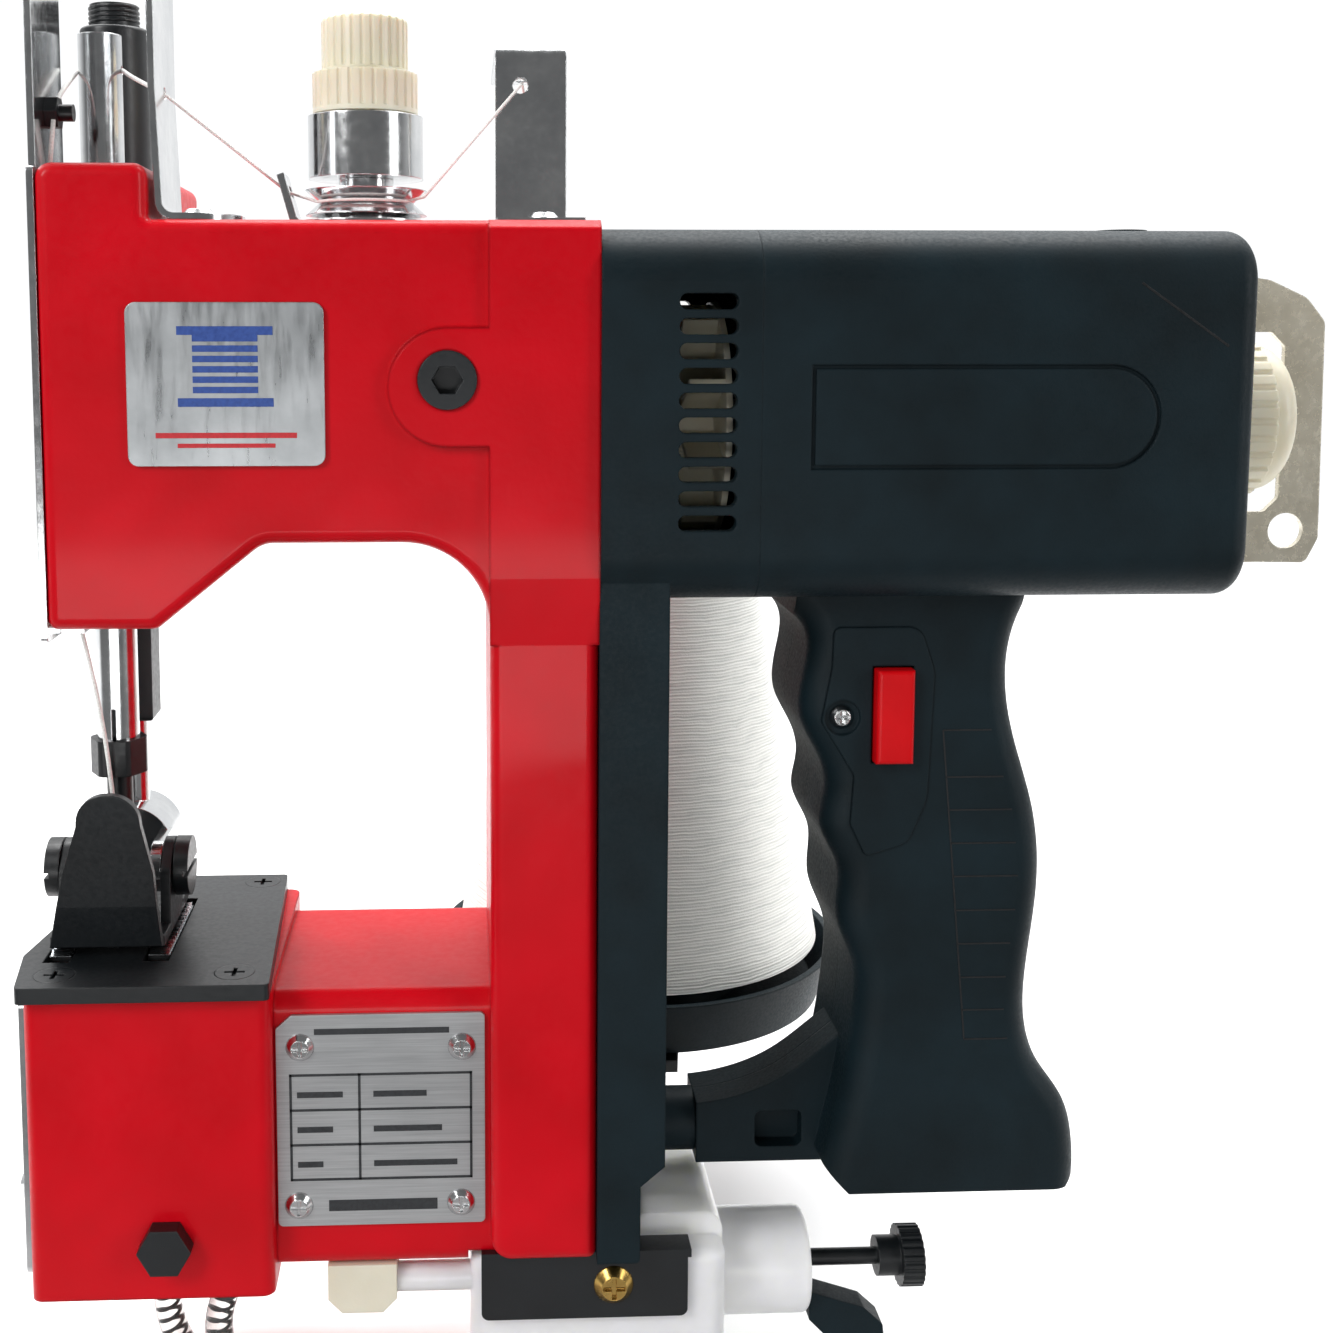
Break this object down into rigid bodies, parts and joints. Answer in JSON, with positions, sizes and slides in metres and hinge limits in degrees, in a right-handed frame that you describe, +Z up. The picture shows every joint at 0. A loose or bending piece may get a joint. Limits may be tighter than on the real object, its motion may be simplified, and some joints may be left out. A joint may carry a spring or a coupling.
{
  "type": "bag closer sewing machine",
  "caption": "Hand-held electric bag closing sewing machine with red cast frame, black motor and grip, oil pump and thread cone",
  "frame": {"origin": "Middle of the oil tank foot, under the joint of the casting and the belt cover, on the supporting surface", "axes": "+X from the needle head to the hand wheel, +Y from the operator towards the thread cone, +Z up"},
  "size_m": [0.271, 0.1696, 0.306],
  "materials": {
    "red_enamel": "gloss",
    "nickel_steel": "polished",
    "brushed_plate": "brushed",
    "ground_steel": "ground",
    "black_steel": "satin",
    "black_nylon": "fine texture",
    "ivory_nylon": "moulded",
    "red_button": "moulded",
    "clear_hose": "translucent",
    "tank_plastic": "translucent",
    "cotton_thread": "wound",
    "brass": "turned",
    "belt_rubber": "moulded",
    "copper_coil": "wound",
    "laminated_iron": "laminated",
    "bronze": "turned",
    "satin_alloy": "satin"
  },
  "bodies": {
    "root": {"frame_casting": "red_enamel", "rocker_pivot_pin": "black_steel", "looper_box_pins": "black_steel", "looper_cover": "nickel_steel", "throat_plate": "black_steel", "throat_plate_screws": "black_steel", "nameplate": "brushed_plate", "nameplate_screws": "nickel_steel", "badge_plate": "satin_alloy", "needle_bar_guard": "nickel_steel", "dark_screws": "black_steel", "needle_bar_bushes": "bronze", "presser_bar_bushes": "black_steel", "presser_spring": "ground_steel", "tension_base": "nickel_steel", "tension_discs": "nickel_steel", "tension_stud_and_spring": "nickel_steel", "thread_bracket": "nickel_steel", "nickel_screws": "nickel_steel", "column_cover": "black_nylon", "motor_housing": "black_nylon", "handle_front": "black_nylon", "handle_rear": "black_nylon", "switch_panel": "black_nylon", "switch_body": "black_nylon", "motor_stator": "laminated_iron", "motor_bearings": "ground_steel", "brush_gear": "brass", "brush_caps": "black_nylon", "drive_belt": "belt_rubber", "shaft_bushes": "bronze", "hanging_plate": "nickel_steel", "oil_tank": "tank_plastic", "tank_bracket": "black_steel", "tank_bracket_screw": "brass", "pump_spout": "black_nylon", "oil_fitting": "ivory_nylon", "hose_left": "clear_hose", "hose_right": "clear_hose", "spool_arm": "black_steel", "spool_tray": "black_nylon", "thread_cone": "cotton_thread", "sewing_thread": "cotton_thread"},
    "drive_spindle": {"motor_armature": "laminated_iron", "cooling_fan": "ivory_nylon", "handwheel": "ivory_nylon"},
    "main_shaft_body": {"main_shaft": "ground_steel", "large_pulley": "satin_alloy"},
    "rocker": {"rocker_arm": "laminated_iron"},
    "needle_bar_body": {"needle_bar": "nickel_steel", "needle_and_clamp": "black_steel"},
    "rod_body": {"connecting_rod": "satin_alloy"},
    "looper_body": {"looper": "ground_steel"},
    "feed_body": {"feed_dog": "ground_steel"},
    "presser_bar_body": {"presser_bar": "nickel_steel", "presser_foot_pins": "black_steel"},
    "foot_body": {"presser_foot": "black_steel"},
    "knob_body": {"tension_knob": "ivory_nylon"},
    "plunger_body": {"oil_plunger": "black_steel"},
    "button_body": {"switch_button": "red_button"}
  },
  "joints": [
    {"name": "motor_turn", "type": "hinge", "parent": "root", "child": "drive_spindle", "pos_m": [0.07, 0, 0.2095], "axis": [1, 0, 0], "continuous": true},
    {"name": "main_shaft_turn", "type": "hinge", "parent": "root", "child": "main_shaft_body", "pos_m": [-0.03, 0, 0.071], "axis": [1, 0, 0], "continuous": true},
    {"name": "rocker_swing", "type": "hinge", "parent": "root", "child": "rocker", "pos_m": [-0.0286, 0, 0.2183], "axis": [0, 1, 0], "range_deg": [-11.66, 11.66]},
    {"name": "needle_bar_slide", "type": "slide", "parent": "root", "child": "needle_bar_body", "axis": [0, 0, 1], "range_m": [-0.014, 0.014]},
    {"name": "connecting_rod_slide", "type": "slide", "parent": "root", "child": "rod_body", "axis": [0, 0, 1], "range_m": [-0.0029, 0.0029]},
    {"name": "looper_swing", "type": "hinge", "parent": "root", "child": "looper_body", "pos_m": [-0.0843, 0, 0.0499], "axis": [0, 1, 0], "range_deg": [-8.2, 8.2]},
    {"name": "feed_slide", "type": "slide", "parent": "root", "child": "feed_body", "axis": [0, 1, 0], "range_m": [-0.0035, 0.0035]},
    {"name": "presser_bar_lift", "type": "slide", "parent": "root", "child": "presser_bar_body", "axis": [0, 0, 1], "range_m": [0, 0.008], "stiffness_N_per_m": 900, "springref_m": -0.006, "deforming": ["presser_spring"]},
    {"name": "presser_foot_tilt", "type": "hinge", "parent": "presser_bar_body", "child": "foot_body", "pos_m": [-0.0973, -0.001, 0.1165], "axis": [1, 0, 0], "range_deg": [-1.5, 1.5]},
    {"name": "tension_knob_turn", "type": "hinge", "parent": "root", "child": "knob_body", "pos_m": [-0.045, 0, 0.278], "axis": [0, 0, 1], "range_deg": [-720, 720]},
    {"name": "oil_plunger_slide", "type": "slide", "parent": "root", "child": "plunger_body", "axis": [1, 0, 0], "range_m": [-0.01, 0], "stiffness_N_per_m": 300, "springref_m": 0.006},
    {"name": "switch_press", "type": "slide", "parent": "root", "child": "button_body", "axis": [0, 1, 0], "range_m": [0, 0.0025], "stiffness_N_per_m": 400, "springref_m": -0.002}
  ],
  "couplings": [
    {"joint": "main_shaft_turn", "follows": "motor_turn", "ratio": 0.33333},
    {"joint": "needle_bar_slide", "follows": "rocker_swing", "m_per_rad": 0.0688},
    {"joint": "connecting_rod_slide", "follows": "rocker_swing", "m_per_rad": -0.0141},
    {"joint": "looper_swing", "follows": "rocker_swing", "ratio": 0.7},
    {"joint": "feed_slide", "follows": "rocker_swing", "m_per_rad": 0.0171}
  ]
}
